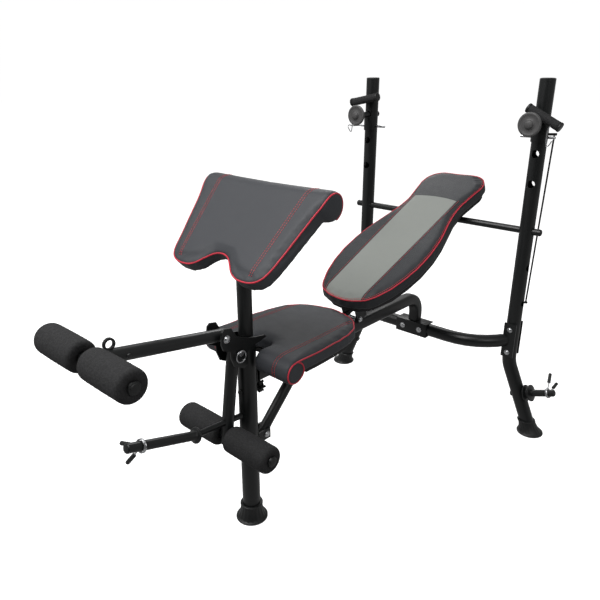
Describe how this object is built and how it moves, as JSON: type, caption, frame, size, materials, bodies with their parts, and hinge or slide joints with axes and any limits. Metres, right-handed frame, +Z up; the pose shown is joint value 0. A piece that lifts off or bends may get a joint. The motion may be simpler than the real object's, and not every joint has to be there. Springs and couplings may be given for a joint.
{
  "type": "adjustable weight bench",
  "caption": "Weight bench with a padded seat, inclined backrest, preacher pad, leg lever with foam rollers, uprights with bar rests and plate storage posts.",
  "frame": {"origin": "on the floor, at the centre of the front foot", "axes": "+X to the user's left, +Y from the front post to the uprights, +Z up"},
  "size_m": [0.9722, 1.5561, 1.177],
  "materials": {
    "powder_coat": "satin black powder coat",
    "vinyl": "black synthetic leather over foam",
    "foam": "matt black foam",
    "plywood": "plywood board",
    "plastic": "black moulded plastic",
    "grey_plastic": "grey moulded plastic",
    "zinc": "bright zinc plate",
    "rubber": "black rubber"
  },
  "bodies": {
    "frame": {"front_post": "powder_coat", "front_foot": "plastic", "post_bumper": "rubber", "main_beam": "powder_coat", "diagonal_brace": "powder_coat", "brace_bolt": "zinc", "cross_beam": "powder_coat", "beam_clamp": "powder_coat", "pivot_bolt": "zinc", "hinge_bracket": "powder_coat", "hinge_bolt": "zinc", "seat_bracket": "powder_coat", "seat_board": "plywood", "seat_cushion": "vinyl", "leg_left": "powder_coat", "rear_foot_left": "plastic", "upright_left": "powder_coat", "joint_plate_left": "powder_coat", "joint_bolt_left_upper": "zinc", "joint_bolt_left_lower": "zinc", "pivot_plate_left": "powder_coat", "storage_post_left": "powder_coat", "handle_left": "foam", "cord_left": "rubber", "leg_right": "powder_coat", "rear_foot_right": "plastic", "upright_right": "powder_coat", "joint_plate_right": "powder_coat", "joint_bolt_right_upper": "zinc", "joint_bolt_right_lower": "zinc", "pivot_plate_right": "powder_coat", "storage_post_right": "powder_coat", "handle_right": "foam", "cord_right": "rubber"},
    "post_knob": {"post_knob": "plastic"},
    "preacher": {"preacher_post": "powder_coat", "preacher_board": "plywood", "preacher_pad": "vinyl"},
    "lever": {"lever_tube": "powder_coat", "upper_roller_tube": "powder_coat", "lower_roller_tube": "powder_coat", "lever_weight_post": "powder_coat"},
    "lever_collar": {"lever_collar": "zinc"},
    "lock_pin": {"lock_pin": "zinc"},
    "backrest": {"backrest_frame": "powder_coat", "backrest_board": "plywood", "backrest_cushion": "vinyl"},
    "incline_bar": {"incline_bar": "powder_coat"},
    "upper_roller_left": {"upper_roller_left": "foam"},
    "lower_roller_left": {"lower_roller_left": "foam"},
    "storage_collar_left": {"storage_collar_left": "zinc"},
    "bar_rest_left": {"bar_rest_left": "powder_coat", "keeper_disc_left": "grey_plastic"},
    "rest_pin_left": {"rest_pin_left": "zinc"},
    "upper_roller_right": {"upper_roller_right": "foam"},
    "lower_roller_right": {"lower_roller_right": "foam"},
    "storage_collar_right": {"storage_collar_right": "zinc"},
    "bar_rest_right": {"bar_rest_right": "powder_coat", "keeper_disc_right": "grey_plastic"},
    "rest_pin_right": {"rest_pin_right": "zinc"}
  },
  "joints": [
    {"name": "lever_swing", "type": "hinge", "parent": "frame", "child": "lever", "pos_m": [0, -0.088, 0.596], "axis": [-1, 0, 0], "range_deg": [0, 70]},
    {"name": "upper_roller_left_spin", "type": "hinge", "parent": "lever", "child": "upper_roller_left", "pos_m": [0.0905, -0.425, 0.656], "axis": [1, 0, 0], "continuous": true},
    {"name": "upper_roller_right_spin", "type": "hinge", "parent": "lever", "child": "upper_roller_right", "pos_m": [-0.0905, -0.425, 0.656], "axis": [1, 0, 0], "continuous": true},
    {"name": "lower_roller_left_spin", "type": "hinge", "parent": "lever", "child": "lower_roller_left", "pos_m": [0.0905, -0.078, 0.308], "axis": [1, 0, 0], "continuous": true},
    {"name": "lower_roller_right_spin", "type": "hinge", "parent": "lever", "child": "lower_roller_right", "pos_m": [-0.0905, -0.078, 0.308], "axis": [1, 0, 0], "continuous": true},
    {"name": "lever_collar_slide", "type": "slide", "parent": "lever", "child": "lever_collar", "axis": [0, -0.9546, 0.298], "range_m": [-0.06, 0.035]},
    {"name": "preacher_height", "type": "slide", "parent": "frame", "child": "preacher", "axis": [0, 0, 1], "range_m": [-0.05, 0.1]},
    {"name": "post_knob_turn", "type": "hinge", "parent": "frame", "child": "post_knob", "pos_m": [0, 0.0328, 0.408], "axis": [0, 1, 0], "continuous": true},
    {"name": "lock_pin_slide", "type": "slide", "parent": "frame", "child": "lock_pin", "axis": [1, 0, 0], "range_m": [-0.003, 0.08]},
    {"name": "backrest_hinge", "type": "hinge", "parent": "frame", "child": "backrest", "pos_m": [0, 0.451, 0.481], "axis": [1, 0, 0], "range_deg": [0, 14]},
    {"name": "incline_bar_slide", "type": "slide", "parent": "frame", "child": "incline_bar", "axis": [1, 0, 0], "range_m": [0, 0.7]},
    {"name": "storage_collar_left_slide", "type": "slide", "parent": "frame", "child": "storage_collar_left", "axis": [0.9361, 0, 0.3518], "range_m": [-0.045, 0.02]},
    {"name": "bar_rest_left_slide", "type": "slide", "parent": "frame", "child": "bar_rest_left", "axis": [0, -1, 0], "range_m": [0, 0.12]},
    {"name": "rest_pin_left_slide", "type": "slide", "parent": "frame", "child": "rest_pin_left", "axis": [1, 0, 0], "range_m": [0, 0.09]},
    {"name": "storage_collar_right_slide", "type": "slide", "parent": "frame", "child": "storage_collar_right", "axis": [-0.9361, 0, 0.3518], "range_m": [-0.045, 0.02]},
    {"name": "bar_rest_right_slide", "type": "slide", "parent": "frame", "child": "bar_rest_right", "axis": [0, -1, 0], "range_m": [0, 0.12]},
    {"name": "rest_pin_right_slide", "type": "slide", "parent": "frame", "child": "rest_pin_right", "axis": [-1, 0, 0], "range_m": [0, 0.09]}
  ]
}
